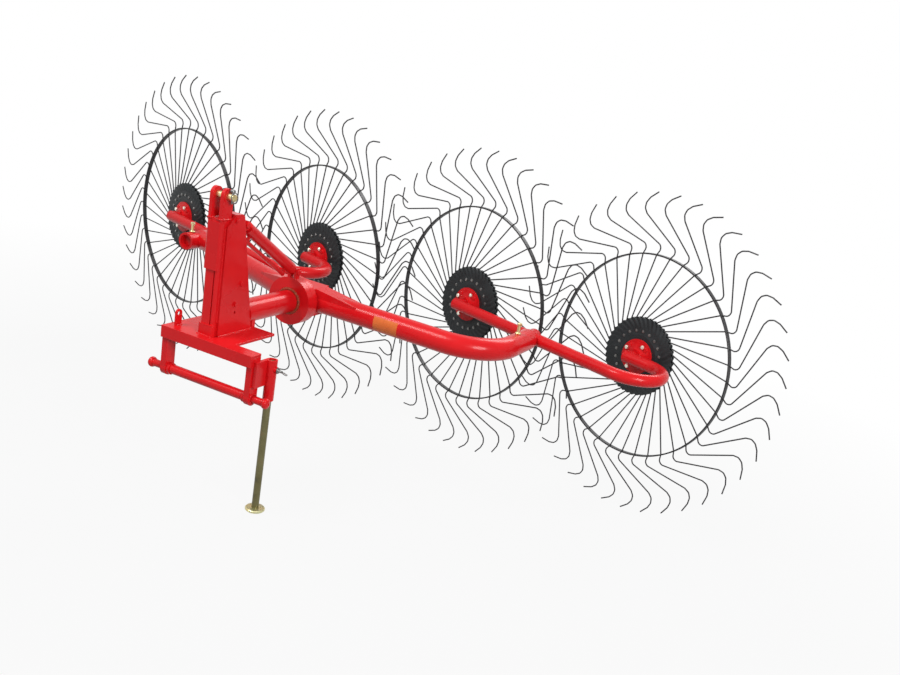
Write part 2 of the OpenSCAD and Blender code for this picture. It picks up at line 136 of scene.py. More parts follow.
def connect(tree, *pairs):
    """Links each (output, input) pair."""
    for source, target in pairs:
        tree.links.new(source, target)


def math_node(tree, operation, first, second):
    """The output of a Math node whose inputs are numbers or sockets."""
    node = tree.nodes.new("ShaderNodeMath")
    node.operation = operation
    for socket, value in zip(node.inputs, (first, second)):
        if isinstance(value, (int, float)):
            socket.default_value = value
        else:
            tree.links.new(value, socket)
    return node.outputs[0]


def white_to_camera(tree, lit, white, share):
    """Mixes a share of white in for camera, mirror and glass rays."""
    path = tree.nodes.new("ShaderNodeLightPath").outputs
    seen = math_node(tree, "MAXIMUM", path["Is Camera Ray"], path["Is Glossy Ray"])
    seen = math_node(tree, "MAXIMUM", seen, path["Is Transmission Ray"])
    mix = tree.nodes.new("ShaderNodeMixShader")
    connect(tree, (math_node(tree, "MULTIPLY", seen, share), mix.inputs[0]),
            (lit, mix.inputs[1]), (white, mix.inputs[2]))
    return mix.outputs[0]


world = bpy.data.worlds.new("studio")
bpy.context.scene.world = world
world.use_nodes = True
tree = world.node_tree
tree.nodes.clear()
dim = add_node(tree, "ShaderNodeBackground", Color=ROOM_TINT, Strength=ROOM_LIGHT)
plain = add_node(tree, "ShaderNodeBackground", Color=WHITE, Strength=1.0)
room = white_to_camera(tree, dim.outputs[0], plain.outputs[0], 1.0)
connect(tree, (room, tree.nodes.new("ShaderNodeOutputWorld").inputs[0]))
print("room light", ROOM_LIGHT)

# %% [markdown]
# ## Floor
# The rake needs something to stand on that also takes its shadow. A pure
# white floor would lose the shadow, and a grey one would show an edge. This
# one is white to the camera almost everywhere, and lets a little of its lit
# surface through near the machine, so a faint shadow stays.

# %% Floor
FLOOR_HALF, FLOOR_SINK, FLOOR_GREY = 30.0, 0.0006, 0.28
FADE_START, FADE_END, WHITE_NEAR = 2.0, 4.5, 0.92

floor_paint = bpy.data.materials.new("pale_floor")
floor_paint.use_nodes = True
tree = floor_paint.node_tree
tree.nodes.clear()
matt = add_node(tree, "ShaderNodeBsdfDiffuse", Color=(FLOOR_GREY, FLOOR_GREY, FLOOR_GREY, 1))
glow = add_node(tree, "ShaderNodeEmission", Color=WHITE, Strength=1.0)
away = tree.nodes.new("ShaderNodeVectorMath")
away.operation = "LENGTH"
fade = add_node(tree, "ShaderNodeMapRange", From_Min=FADE_START, From_Max=FADE_END,
                To_Min=WHITE_NEAR, To_Max=1.0)
connect(tree, (tree.nodes.new("ShaderNodeTexCoord").outputs["Object"], away.inputs[0]),
        (away.outputs["Value"], fade.inputs["Value"]))
pale = white_to_camera(tree, matt.outputs[0], glow.outputs[0], fade.outputs["Result"])
connect(tree, (pale, tree.nodes.new("ShaderNodeOutputMaterial").inputs[0]))
floor_mesh = bpy.data.meshes.new("floor")
corners = [(x * FLOOR_HALF, y * FLOOR_HALF, 0) for x, y in ((-1, -1), (1, -1), (1, 1), (-1, 1))]
floor_mesh.from_pydata(corners, [], [(0, 1, 2, 3)])
floor_mesh.materials.append(floor_paint)
floor = put_in_scene("floor", floor_mesh)
floor.location.z = -FLOOR_SINK
floor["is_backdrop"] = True
print("floor", 2 * FLOOR_HALF, "m wide")

# %% [markdown]
# ## Lamps
# Round tubes want long soft highlights. One hard lamp would give thin
# glints and black undersides, so three wide soft boxes share the work: a key
# from the upper left, a fill from the right for the mast's broad side, and
# one behind, which draws the wires and the tops of the tubes.

# %% Lamps
LAMP_AIM = Vector((-0.2, 0.7, 0.6))
LAMPS = (("key_lamp", (-2.2, -2.4, 5.8), 2.6, 250),
         ("fill_lamp", (4.8, -2.4, 3.2), 2.6, 270),
         ("back_lamp", (0.5, 5.2, 5.0), 3.0, 170))

for name, spot, size, watts in LAMPS:
    light = bpy.data.lights.new(name, "AREA")
    light.shape, light.size, light.energy = "DISK", size, watts
    lamp = put_in_scene(name, light)
    lamp.location = spot
    lamp.rotation_euler = (LAMP_AIM - Vector(spot)).to_track_quat("-Z", "Y").to_euler()
bpy.context.scene.view_settings.view_transform = "Standard"
print("lamps", [(name, watts) for name, _, _, watts in LAMPS])

# %% [markdown]
# ## Finishes
# A few finishes cover the machine. The gloss red enamel has a fine
# orange-peel surface and slightly duller patches. The wires and discs are
# black paint on steel. The pins are yellow zinc plate, whose tint drifts
# between straw, green and rose, and the leg of the stand is duller and olive, with dark patches of painted
# reflection.
# Plain colours would look like plastic, so a shared node group makes an uneven
# sheen, which each finish uses at its own scale.

# %% Uneven sheen
SHEEN_INPUTS = (("Scale", 6.0), ("Low", 0.2), ("High", 0.3), ("Fine Scale", 300.0), ("Bump", 0.05))
PEEL_DEPTH = 0.0004

uneven = bpy.data.node_groups.new("uneven_sheen", "ShaderNodeTree")
for label, value in SHEEN_INPUTS:
    uneven.interface.new_socket(label, in_out="INPUT", socket_type="NodeSocketFloat").default_value = value
for label, kind in (("Cloud", "Float"), ("Roughness", "Float"), ("Normal", "Vector")):
    uneven.interface.new_socket(label, in_out="OUTPUT", socket_type="NodeSocket" + kind)
given = uneven.nodes.new("NodeGroupInput").outputs
result = uneven.nodes.new("NodeGroupOutput").inputs
spot = uneven.nodes.new("ShaderNodeTexCoord").outputs["Object"]
cloud = add_node(uneven, "ShaderNodeTexNoise", Detail=4.0, Roughness=0.6)
fine = add_node(uneven, "ShaderNodeTexNoise", Detail=2.0)
span = add_node(uneven, "ShaderNodeMapRange", From_Min=0.3, From_Max=0.7)
bump = add_node(uneven, "ShaderNodeBump", Distance=PEEL_DEPTH)
connect(
    uneven,
    (spot, cloud.inputs["Vector"]), (given["Scale"], cloud.inputs["Scale"]),
    (spot, fine.inputs["Vector"]), (given["Fine Scale"], fine.inputs["Scale"]),
    (cloud.outputs["Fac"], span.inputs["Value"]),
    (given["Low"], span.inputs["To Min"]), (given["High"], span.inputs["To Max"]),
    (fine.outputs["Fac"], bump.inputs["Height"]), (given["Bump"], bump.inputs["Strength"]),
    (cloud.outputs["Fac"], result["Cloud"]), (span.outputs["Result"], result["Roughness"]),
    (bump.outputs["Normal"], result["Normal"]))
print(uneven.name, len(uneven.nodes), "nodes")


# %% Paints and plates
def finish(name, stops, metallic, rough, scale, fine_scale, peel, shine=0.5, coat=0.0, coat_rough=0.1):
    """A paint or plate: colour stops over the cloud, with uneven sheen."""
    made = bpy.data.materials.new(name)
    made.use_nodes = True
    tree = made.node_tree
    shader = tree.nodes["Principled BSDF"].inputs
    shader["Metallic"].default_value = metallic
    shader["Specular IOR Level"].default_value = shine
    shader["Coat Weight"].default_value = coat
    shader["Coat Roughness"].default_value = coat_rough
    group = tree.nodes.new("ShaderNodeGroup")
    group.node_tree = uneven
    for (label, _), value in zip(SHEEN_INPUTS, (scale, *rough, fine_scale, peel)):
        group.inputs[label].default_value = value
    ramp = tree.nodes.new("ShaderNodeValToRGB")
    marks = ramp.color_ramp.elements
    while len(marks) < len(stops):
        marks.new(0.5)
    for mark, (where, colour) in zip(marks, stops):
        mark.position, mark.color = where, (*colour, 1)
    connect(tree, (group.outputs["Cloud"], ramp.inputs["Fac"]),
            (ramp.outputs["Color"], shader["Base Color"]),
            (group.outputs["Roughness"], shader["Roughness"]),
            (group.outputs["Normal"], shader["Normal"]))
    return made


red_enamel = finish(
    "red_enamel", ((0.30, (0.57, 0.006, 0.009)), (0.70, (0.65, 0.009, 0.012))),
    metallic=0.0, rough=(0.22, 0.34), scale=5.0, fine_scale=420.0, peel=0.09,
    shine=0.15, coat=0.10, coat_rough=0.08)
black_wire = finish(
    "black_wire", ((0.3, (0.014, 0.014, 0.016)), (0.7, (0.030, 0.029, 0.030))),
    metallic=0.3, rough=(0.36, 0.52), scale=30.0, fine_scale=700.0, peel=0.15, shine=0.4)
black_disc = finish(
    "black_disc", ((0.3, (0.009, 0.011, 0.012)), (0.7, (0.021, 0.025, 0.027))),
    metallic=0.0, rough=(0.42, 0.60), scale=14.0, fine_scale=260.0, peel=0.25, shine=0.3)
yellow_zinc = finish(
    "yellow_zinc", ((0.28, (0.62, 0.47, 0.20)), (0.46, (0.66, 0.58, 0.30)),
                    (0.60, (0.52, 0.52, 0.30)), (0.74, (0.66, 0.44, 0.30))),
    metallic=0.9, rough=(0.24, 0.40), scale=26.0, fine_scale=500.0, peel=0.08)
# The darkest stop is painted reflection: dark patches that stand in for reflected dark surroundings. The
# other stops are the plate's own olive, khaki and brown tints.
olive_zinc = finish(
    "olive_zinc", ((0.30, (0.04, 0.044, 0.034)), (0.42, (0.12, 0.103, 0.038)), (0.56, (0.15, 0.136, 0.058)),
                   (0.68, (0.19, 0.12, 0.052)), (0.80, (0.23, 0.215, 0.13))),
    metallic=0.45, rough=(0.30, 0.46), scale=11.0, fine_scale=500.0, peel=0.08)
bright_zinc = finish(
    "bright_zinc", ((0.3, (0.80, 0.77, 0.66)), (0.7, (0.90, 0.86, 0.74))),
    metallic=0.85, rough=(0.22, 0.34), scale=40.0, fine_scale=600.0, peel=0.05)
dull_steel = finish(
    "dull_steel", ((0.3, (0.12, 0.12, 0.12)), (0.7, (0.24, 0.24, 0.23))),
    metallic=0.9, rough=(0.34, 0.50), scale=40.0, fine_scale=600.0, peel=0.06)
weld_scale = finish(
    "weld_scale", ((0.3, (0.30, 0.014, 0.010)), (0.5, (0.26, 0.040, 0.014)), (0.7, (0.13, 0.018, 0.012))),
    metallic=0.2, rough=(0.34, 0.60), scale=70.0, fine_scale=500.0, peel=0.2, shine=0.3)
orange_film = finish(
    "orange_film", ((0.3, (0.62, 0.13, 0.030)), (0.7, (0.70, 0.17, 0.040))),
    metallic=0.0, rough=(0.30, 0.38), scale=20.0, fine_scale=500.0, peel=0.03, shine=0.2)
print("finishes with uneven sheen", uneven.users)

# %% [markdown]
# ## Paint the frame
# The solids come in with plain colours, one named slot to each. Painting them
# one by one would be slow, so every node takes the finish of its slot, and
# only the leg of the stand, which is duller than the other plated pieces and
# carries painted reflection, is named by itself.

# %% Paint the frame
finish_of_slot = {"red_paint": red_enamel, "black_wire": black_wire,
                  "black_disc": black_disc, "yellow_zinc": yellow_zinc}
slot_of_node = {row["node"]: row["material_slot"] for row in record["subparts"]}
for name, node in nodes.items():
    for seat in node.material_slots:
        seat.material = olive_zinc if name == "stand_leg" else finish_of_slot[slot_of_node[name]]
print("painted", len(slot_of_node), "nodes")

# %% [markdown]
# ## Helpers for small pieces
# Each new piece is a plain mesh that rides on one body. Most small parts of
# this machine are turned or pressed, so they could be modelled from
# cylinders, but a profile spun round an axis gives the chamfers and necks as
# well. `add_piece` gives the mesh a finish and tells the frame which body it
# moves with.

# %% Piece helpers
ON_AXIS = 1e-7


def add_piece(name, mesh, body, material, smooth=40):
    """A finished mesh becomes a piece that rides on a body."""
    mesh.materials.clear()
    mesh.materials.append(material)
    mesh.shade_smooth()
    mesh.set_sharp_from_angle(angle=math.radians(smooth))
    piece = put_in_scene(name, mesh)
    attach(piece, body)
    return piece


def add_to_mesh(mesh, build):
    """Adds what `build` makes to a mesh, with all faces turned outwards."""
    bm = bmesh.new()
    bm.from_mesh(mesh)
    build(bm)
    bmesh.ops.recalc_face_normals(bm, faces=bm.faces)
    bm.to_mesh(mesh)
    bm.free()
    return mesh


def new_mesh(name, build):
    """A mesh of what `build` makes."""
    return add_to_mesh(bpy.data.meshes.new(name), build)


def circle(r, count):
    """Points of a circle in the XY plane."""
    turns = [2 * math.pi * i / count for i in range(count)]
    return [Vector((r * math.cos(turn), r * math.sin(turn), 0)) for turn in turns]


def lathe(bm, profile, place, sides=32):
    """Turns (radius, height) points about the place's own Z axis."""
    rows = []
    for r, h in profile:
        ring = [Vector()] if r < ON_AXIS else circle(r, sides)
        rows.append([bm.verts.new(place @ (spot + h * UP)) for spot in ring])
    for a, b in zip(rows, rows[1:]):
        for i in range(sides):
            j = (i + 1) % sides
            if len(a) == 1:
                bm.faces.new((a[0], b[i], b[j]))
            elif len(b) == 1:
                bm.faces.new((a[i], a[j], b[0]))
            else:
                bm.faces.new((a[i], a[j], b[j], b[i]))


def along(origin, direction):
    """A placing whose Z axis points in the direction."""
    return Matrix.Translation(origin) @ Vector(direction).to_track_quat("Z", "Y").to_matrix().to_4x4()


# %% [markdown]
# ## Helpers for Geometry Nodes
# Wires, bolts and weld beads repeat or follow a path, so node trees make
# them. Each tree has named inputs, is run once on a small base mesh, and
# leaves a plain mesh behind, because only real faces are exported.

# %% Tree helpers
def shape_tree(name, *sockets):
    """A tree with named (label, kind, value) inputs, its input sockets and its output."""
    tree = bpy.data.node_groups.new(name, "GeometryNodeTree")
    tree.interface.new_socket("Geometry", in_out="INPUT", socket_type="NodeSocketGeometry")
    for label, kind, value in sockets:
        socket = tree.interface.new_socket(label, in_out="INPUT", socket_type="NodeSocket" + kind)
        if value is not None:
            socket.default_value = value
    tree.interface.new_socket("Geometry", in_out="OUTPUT", socket_type="NodeSocketGeometry")
    return tree, tree.nodes.new("NodeGroupInput").outputs, tree.nodes.new("NodeGroupOutput").inputs[0]


def end_tree(tree, geometry, material, result):
    """Every tree ends in real faces with their finish set."""
    real = tree.nodes.new("GeometryNodeRealizeInstances")
    coat = tree.nodes.new("GeometryNodeSetMaterial")
    connect(tree, (geometry, real.inputs[0]), (real.outputs[0], coat.inputs["Geometry"]),
            (material, coat.inputs["Material"]), (coat.outputs[0], result))
    print("tree", tree.name, len(tree.nodes), "nodes")


def evaluated_mesh(holder, name):
    """The plain mesh that an object with modifiers gives; the object goes."""
    graph = bpy.context.evaluated_depsgraph_get()
    mesh = bpy.data.meshes.new_from_object(holder.evaluated_get(graph))
    mesh.name = name
    bpy.data.objects.remove(holder, do_unlink=True)
    return mesh


def run_tree(tree, base_mesh, name, **values):
    """The plain mesh that a tree makes from a base mesh and named values."""
    holder = put_in_scene(name + "_maker", base_mesh)
    modifier = holder.modifiers.new("make", "NODES")
    modifier.node_group = tree
    for item in tree.interface.items_tree:
        label = item.name.replace(" ", "_")
        if item.item_type == "SOCKET" and item.in_out == "INPUT" and label in values:
            modifier[item.identifier] = values[label]
    return evaluated_mesh(holder, name)


print("node and socket names are those of Blender", bpy.app.version_string)

# %% [markdown]
# ## Wheels: round spring wires on a ring
# A tine is one spring wire. It leaves the black disc at a slant, passes
# through the ring, turns back sharply, sweeps outward and ends in a short
# hook. The wire could be swept by hand forty times, but it follows a rule, so
# a Geometry Nodes tree does it: the path becomes a curve, its corners are
# filleted, a round profile is swept along it, and the result is instanced
# round the axle.

# %% Tine tree
CORNER_STEPS = 4

tine_tree, given, result = shape_tree(
    "tine_wheel", ("Tines", "Int", 40), ("Wire Radius", "Float", 0.003),
    ("Corner Radius", "Float", 0.02), ("Sides", "Int", 8), ("Material", "Material", None))
path = tine_tree.nodes.new("GeometryNodeMeshToCurve")
fillet = add_node(tine_tree, "GeometryNodeFilletCurve", Limit_Radius=True)
fillet.mode = "POLY"
fillet.inputs["Count"].default_value = CORNER_STEPS
section = tine_tree.nodes.new("GeometryNodeCurvePrimitiveCircle")
sweep = add_node(tine_tree, "GeometryNodeCurveToMesh", Fill_Caps=True)
spots = tine_tree.nodes.new("GeometryNodePoints")
copies = tine_tree.nodes.new("GeometryNodeInstanceOnPoints")
index = tine_tree.nodes.new("GeometryNodeInputIndex").outputs[0]
share = math_node(tine_tree, "DIVIDE", index, given["Tines"])
about_axle = tine_tree.nodes.new("ShaderNodeCombineXYZ")
spin = tine_tree.nodes.new("FunctionNodeEulerToRotation")
connect(
    tine_tree,
    (given["Geometry"], path.inputs[0]), (path.outputs[0], fillet.inputs["Curve"]),
    (given["Corner Radius"], fillet.inputs["Radius"]), (fillet.outputs[0], sweep.inputs["Curve"]),
    (given["Sides"], section.inputs["Resolution"]), (given["Wire Radius"], section.inputs["Radius"]),
    (section.outputs[0], sweep.inputs["Profile Curve"]), (sweep.outputs[0], copies.inputs["Instance"]),
    (given["Tines"], spots.inputs["Count"]), (spots.outputs[0], copies.inputs["Points"]),
    (math_node(tine_tree, "MULTIPLY", share, -2 * math.pi), about_axle.inputs["Y"]),
    (about_axle.outputs[0], spin.inputs[0]), (spin.outputs[0], copies.inputs["Rotation"]))
end_tree(tine_tree, copies.outputs[0], given["Material"], result)


# %% Tine path
def polar(r, degrees):
    """A point in the wheel's own plane, XZ."""
    turn = math.radians(degrees)
    return Vector((r * math.cos(turn), 0, r * math.sin(turn)))


low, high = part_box("wheel_1_discs")
DISC_R = (high.z - low.z) / 2
HUB_Z = joints["wheel_1_spin"]["pos_m"][2]
TIP_R, RING_R = HUB_Z, 0.430
WIRE_R, ROOT_DEEP, CROSS_TURN, TIP_TURN = 0.0029, 0.044, -24, -11.5
# Share of the way from the ring to the tip, and degrees round the axle
BENDS = ((0.10, -26), (0.17, -25), (0.55, -9.5), (0.64, -7.1), (0.73, -6.1), (0.82, -6.6), (0.90, -8.3))

rim, cross = polar(DISC_R, 0), polar(RING_R, CROSS_TURN)
tine_path = [rim - (cross - rim).normalized() * ROOT_DEEP, cross]
tine_path += [polar(RING_R + share * (TIP_R - RING_R), turn) for share, turn in BENDS]
tine_path.append(polar(TIP_R - WIRE_R, TIP_TURN))
tip_down = Matrix.Rotation(math.radians(90 + TIP_TURN), 4, "Y")
print("tine path", len(tine_path), "points, tips at", round(TIP_R, 3), "m")

# %% Wire rings
TINES, WIRE_SIDES, CORNER_R, SAME_POINT = 40, 8, 0.020, 2e-5
RING_W, RING_T, RING_EDGE, RING_SIDES = 0.020, 0.006, 0.0012, 120


def wheel_place(k):
    """The wheel's own frame: X across, Y along the axle to the rear, Z up."""
    joint = joints["wheel_%d_spin" % k]
    axle = Vector(joint["axis"]).normalized()
    turn = Matrix((axle.cross(UP), axle, UP)).transposed().to_4x4()
    return Matrix.Translation(Vector(joint["pos_m"])) @ turn


def ring_band(bm):
    """The flat steel ring, with its four edges taken off and its seam closed."""
    inner, outer, side, edge = RING_R - RING_T / 2, RING_R + RING_T / 2, RING_W / 2, RING_EDGE
    section = [(inner, edge - side), (inner + edge, -side), (outer - edge, -side), (outer, edge - side),
               (outer, side - edge), (outer - edge, side), (inner + edge, side), (inner, side - edge)]
    lathe(bm, section + section[:1], Matrix.Rotation(math.radians(-90), 4, "X"), RING_SIDES)
    bmesh.ops.remove_doubles(bm, verts=bm.verts, dist=SAME_POINT)


for k in WHEELS:
    base = bpy.data.meshes.new("tine_path")
    steps = [(i, i + 1) for i in range(len(tine_path) - 1)]
    base.from_pydata([tip_down @ p for p in tine_path], steps, [])
    wires = run_tree(tine_tree, base, "wheel_%d_wires" % k, Tines=TINES, Wire_Radius=WIRE_R,
                     Corner_Radius=CORNER_R, Sides=WIRE_SIDES, Material=black_wire)
    add_to_mesh(wires, ring_band)
    wires.transform(wheel_place(k))
    piece = add_piece("wheel_%d_wire_ring" % k, wires, "wheel_%d" % k, black_wire)
    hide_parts("wheel_%d_tines" % k)
print("wire rings", len(wires.polygons), "faces each")

# %% [markdown]
# ## Wheels: toothed discs
# Two thick black discs clamp the roots of the tines. The outer zone falls
# away like a bevel gear, with one slanted rib for every tine, and a pressed
# bead runs round the flat. A flat disc with a bump texture would lose the
# teeth in profile, so the face is built ring by ring, with the ribs lifted by
# a cosine of the angle.

# %% Toothed discs
STEPS, BORE_R, RIB_START = 6, 0.0345, 0.122
DISC_FACE, DISC_INNER = 0.01355, 0.00355
TOOTH_DEEP, FALL, RIB_HIGH, SLANT, RIB_RISE = 0.007, 0.0060, 0.0046, 1.3, 4
BEAD_RADII, BEAD_HIGH = (0.090, 0.094), 0.0016
FACE_RADII = (BORE_R, 0.070, 0.086, *BEAD_RADII, 0.098, 0.1185, RIB_START,
              0.130, 0.140, 0.150, 0.158, 0.164, DISC_R)


def toothed_disc(bm, side):
    """One disc in the wheel's own frame; side is -1 in front, 1 behind."""
    count = TINES * STEPS
    rows = []
    for r in FACE_RADII:
        share = max(0.0, (r - RIB_START) / (DISC_R - RIB_START))
        row = []
        for i in range(count):
            ridge = 0.5 - 0.5 * math.cos(2 * math.pi * (i / STEPS - SLANT * share))
            lift = RIB_HIGH * ridge * min(1.0, RIB_RISE * share) - FALL * share
            lift += BEAD_HIGH if r in BEAD_RADII else 0.0
            reach = r - (TOOTH_DEEP * (1 - ridge) if r == DISC_R else 0.0)
            spot = polar(reach, 360 * i / count)
            spot.y = side * (DISC_FACE + lift)
            row.append(bm.verts.new(spot))
        rows.append(row)
    for edge in (rows[-1], rows[0]):
        rows.append([bm.verts.new((v.co.x, side * DISC_INNER, v.co.z)) for v in edge])
    rows.append(rows[0])
    for a, b in zip(rows, rows[1:]):
        for i in range(count):
            j = (i + 1) % count
            bm.faces.new((a[i], a[j], b[j], b[i]))


def both_discs(bm):
    toothed_disc(bm, -1)
    toothed_disc(bm, 1)


for k in WHEELS:
    discs = new_mesh("toothed_discs", both_discs)
    discs.transform(wheel_place(k))
    piece = add_piece("wheel_%d_toothed_discs" % k, discs, "wheel_%d" % k, black_disc,
                      smooth=35)
    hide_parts("wheel_%d_discs" % k)
print("toothed discs", len(discs.polygons), "faces a pair")

# %% [markdown]
# ## Bolts
# Bolts hold the discs, the hubs, the mast and the brace. They are all the
# same thing in other sizes: a washer and a six-sided head with a chamfer. A
# bolt could be modelled once and copied by hand, but one Geometry Nodes tree
# can build it in any size and put it on every given point, turned along the
# point's own axis.

# %% Bolt tree
WASHER_SIDES, HEAD_SIDES, CHAMFER_SHARE, CHAMFER_SCALE = 20, 6, 0.22, 0.80

bolt_tree, given, result = shape_tree(
    "hex_bolts", ("Head Radius", "Float", 0.008), ("Head Height", "Float", 0.006),
    ("Washer Radius", "Float", 0.011), ("Washer Height", "Float", 0.002), ("Material", "Material", None))


def prism(tree, sides, radius, tall):
    """A cone node with equal ends, which stands on the bolt's seat."""
    cone = add_node(tree, "GeometryNodeMeshCone", Vertices=sides)
    connect(tree, (radius, cone.inputs["Radius Bottom"]), (radius, cone.inputs["Radius Top"]),
            (tall, cone.inputs["Depth"]))
    return cone


washer = prism(bolt_tree, WASHER_SIDES, given["Washer Radius"], given["Washer Height"])
flats = math_node(bolt_tree, "MULTIPLY", given["Head Height"], 1 - CHAMFER_SHARE)
head = prism(bolt_tree, HEAD_SIDES, given["Head Radius"],
             math_node(bolt_tree, "ADD", flats, given["Washer Height"]))
raised = bolt_tree.nodes.new("GeometryNodeExtrudeMesh")
chamfer = add_node(bolt_tree, "GeometryNodeScaleElements", Scale=CHAMFER_SCALE)
both = bolt_tree.nodes.new("GeometryNodeJoinGeometry")
seat_axis = add_node(bolt_tree, "GeometryNodeInputNamedAttribute", Name="axis")
seat_axis.data_type = "FLOAT_VECTOR"
align = bolt_tree.nodes.new("FunctionNodeAlignRotationToVector")
align.axis = "Z"
spots = bolt_tree.nodes.new("GeometryNodeMeshToPoints")
copies = bolt_tree.nodes.new("GeometryNodeInstanceOnPoints")
connect(
    bolt_tree,
    (head.outputs["Mesh"], raised.inputs["Mesh"]), (head.outputs["Top"], raised.inputs["Selection"]),
    (math_node(bolt_tree, "MULTIPLY", given["Head Height"], CHAMFER_SHARE), raised.inputs["Offset Scale"]),
    (raised.outputs["Mesh"], chamfer.inputs["Geometry"]),
    (raised.outputs["Top"], chamfer.inputs["Selection"]),
    (chamfer.outputs[0], both.inputs[0]), (washer.outputs["Mesh"], both.inputs[0]),
    (given["Geometry"], spots.inputs[0]), (spots.outputs[0], copies.inputs["Points"]),
    (both.outputs[0], copies.inputs["Instance"]), (seat_axis.outputs[0], align.inputs["Vector"]),
    (align.outputs[0], copies.inputs["Rotation"]))
end_tree(bolt_tree, copies.outputs[0], given["Material"], result)

# %% [markdown]
# ## Wheel bolts
# Twenty small dull bolts hold each pair of discs, on both sides, and four
# bright ones hold the hub in front. Their seats lie on two circles, so a loop
# gives each seat its point and its direction, and the bolt tree does the
# rest.

# %% Wheel bolts
DISC_BOLTS, DISC_BOLT_RING = 20, 0.110
HUB_BOLTS, HUB_BOLT_RING, HUB_BOLT_TURN, HUB_FACE = 4, 0.057, 62, 0.0306
# Head radius and height, washer radius and height
DISC_BOLT, HUB_BOLT = (0.0058, 0.0044, 0.0072, 0.0012), (0.0086, 0.0056, 0.0080, 0.0004)


def bolts(name, body, seats, sizes, material, more=None):
    """Bolts on (point, direction) seats, with what `more` adds to them."""
    base = bpy.data.meshes.new(name + "_seats")
    base.from_pydata([tuple(point) for point, _ in seats], [], [])
    axis = base.attributes.new("axis", "FLOAT_VECTOR", "POINT")
    for row, (_, direction) in zip(axis.data, seats):
        row.vector = direction
    head_r, head_h, washer_r, washer_h = sizes
    mesh = run_tree(bolt_tree, base, name, Head_Radius=head_r, Head_Height=head_h,
                    Washer_Radius=washer_r, Washer_Height=washer_h, Material=material)
    if more:
        add_to_mesh(mesh, more)
    return add_piece(name, mesh, body, material, smooth=30)


for k in WHEELS:
    place = wheel_place(k)
    forward = place.to_3x3() @ Vector((0, -1, 0))
    disc_seats = []
    for i in range(DISC_BOLTS):
        spot = polar(DISC_BOLT_RING, i * 360 / DISC_BOLTS)
        disc_seats.append((place @ (spot + Vector((0, -DISC_FACE, 0))), forward))
        disc_seats.append((place @ (spot + Vector((0, DISC_FACE, 0))), -forward))
    hub_spots = [polar(HUB_BOLT_RING, HUB_BOLT_TURN + i * 360 / HUB_BOLTS) for i in range(HUB_BOLTS)]
    hub_seats = [(place @ (spot + Vector((0, -HUB_FACE, 0))), forward) for spot in hub_spots]
    bolts("wheel_%d_disc_bolts" % k, "wheel_%d" % k, disc_seats, DISC_BOLT, dull_steel)
    bolts("wheel_%d_hub_bolts" % k, "wheel_%d" % k, hub_seats, HUB_BOLT, bright_zinc)
print("bolts a wheel", len(disc_seats) + len(hub_seats))

# %% [markdown]
# ## Headstock bolts
# Three painted bolts go through the mast's side plates, and one through each
# eye of the brace. The mast tapers, so its bolts are placed as shares of the
# plate's depth and height, which keeps them on the plate. The brace bolts
# also get their shanks, because the gap between the lugs shows them.

# %% Headstock bolts
side_low, side_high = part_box("mast_sides")
MAST_X, SIDE_OUT = (side_low.x + side_high.x) / 2, (side_high.x - side_low.x) / 2
BASE_Z = side_low.z
# Shares of the plate's depth at its foot and of its height
MAST_SEATS = ((0.24, 0.955), (0.54, 0.42), (0.42, 0.25))
MAST_BOLT, BRACE_BOLT = (0.0085, 0.0060, 0.0115, 0.0018), (0.0115, 0.0075, 0.0125, 0.0015)
LUG_OUT, SHANK_R = 0.0194, 0.007

mast_seats = []
for back, up in MAST_SEATS:
    y = side_low.y + back * (side_high.y - side_low.y)
    z = BASE_Z + up * (side_high.z - BASE_Z)
    for side in (-1, 1):
        mast_seats.append((Vector((MAST_X + side * SIDE_OUT, y, z)), Vector((side, 0, 0))))
bolts("mast_bolts", "headstock", mast_seats, MAST_BOLT, red_enamel)

low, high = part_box("brace_bolts")
inset = BRACE_BOLT[0]
brace_eyes = ((low.y + inset, high.z - inset), (high.y - inset, low.z + inset))
brace_seats = [(Vector((MAST_X + side * LUG_OUT, y, z)), Vector((side, 0, 0)))
               for y, z in brace_eyes for side in (-1, 1)]
SHANK = ((0, -LUG_OUT), (SHANK_R, -LUG_OUT), (SHANK_R, LUG_OUT), (0, LUG_OUT))


def brace_shanks(bm):
    for y, z in brace_eyes:
        lathe(bm, SHANK, along((MAST_X, y, z), (1, 0, 0)), sides=16)


piece = bolts("brace_hex_bolts", "headstock", brace_seats, BRACE_BOLT, red_enamel, brace_shanks)
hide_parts("brace_bolts")
print("mast bolts", len(mast_seats), "brace bolt ends", len(brace_seats))

# %% [markdown]
# ## Pivot lock studs
# Each arm's pivot shaft is kept in its sleeve by a plated stud with a flange
# and a six-sided head. It is a turned part, so its neck and flange are one
# profile on the lathe, and the head on top comes from the bolt tree.

# %% Pivot lock studs
SLEEVE_R, BOOM_R = 0.039, 0.0445
STUD_R, STUD_LONG, STUD_SUNK, STUD_INSET = 0.0065, 0.036, 0.012, 0.011
STUD_HEAD = (0.0105, 0.0088, 0.0098, 0.0008)
STUD = ((0, -STUD_SUNK), (STUD_R, -STUD_SUNK), (STUD_R, 0.0003), (0.0115, 0.0003), (0.0122, 0.0016),
        (0.0122, 0.0044), (0.0112, 0.0056), (0.0078, 0.0062), (STUD_R, 0.0078), (STUD_R, STUD_LONG),
        (0, STUD_LONG))
low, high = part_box("pivot_lock_pins")
stud_feet = (Vector((low.x + STUD_INSET, high.y - STUD_INSET, HUB_Z + SLEEVE_R)),
             Vector((high.x - STUD_INSET, low.y + STUD_INSET, HUB_Z + BOOM_R)))


def studs(bm):
    for foot in stud_feet:
        lathe(bm, STUD, Matrix.Translation(foot), sides=20)


stud_heads = [(foot + STUD_LONG * UP, UP) for foot in stud_feet]
piece = bolts("pivot_lock_studs", "boom", stud_heads, STUD_HEAD, yellow_zinc, more=studs)
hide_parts("pivot_lock_pins")
print("stud feet", [[round(v, 3) for v in foot] for foot in stud_feet])

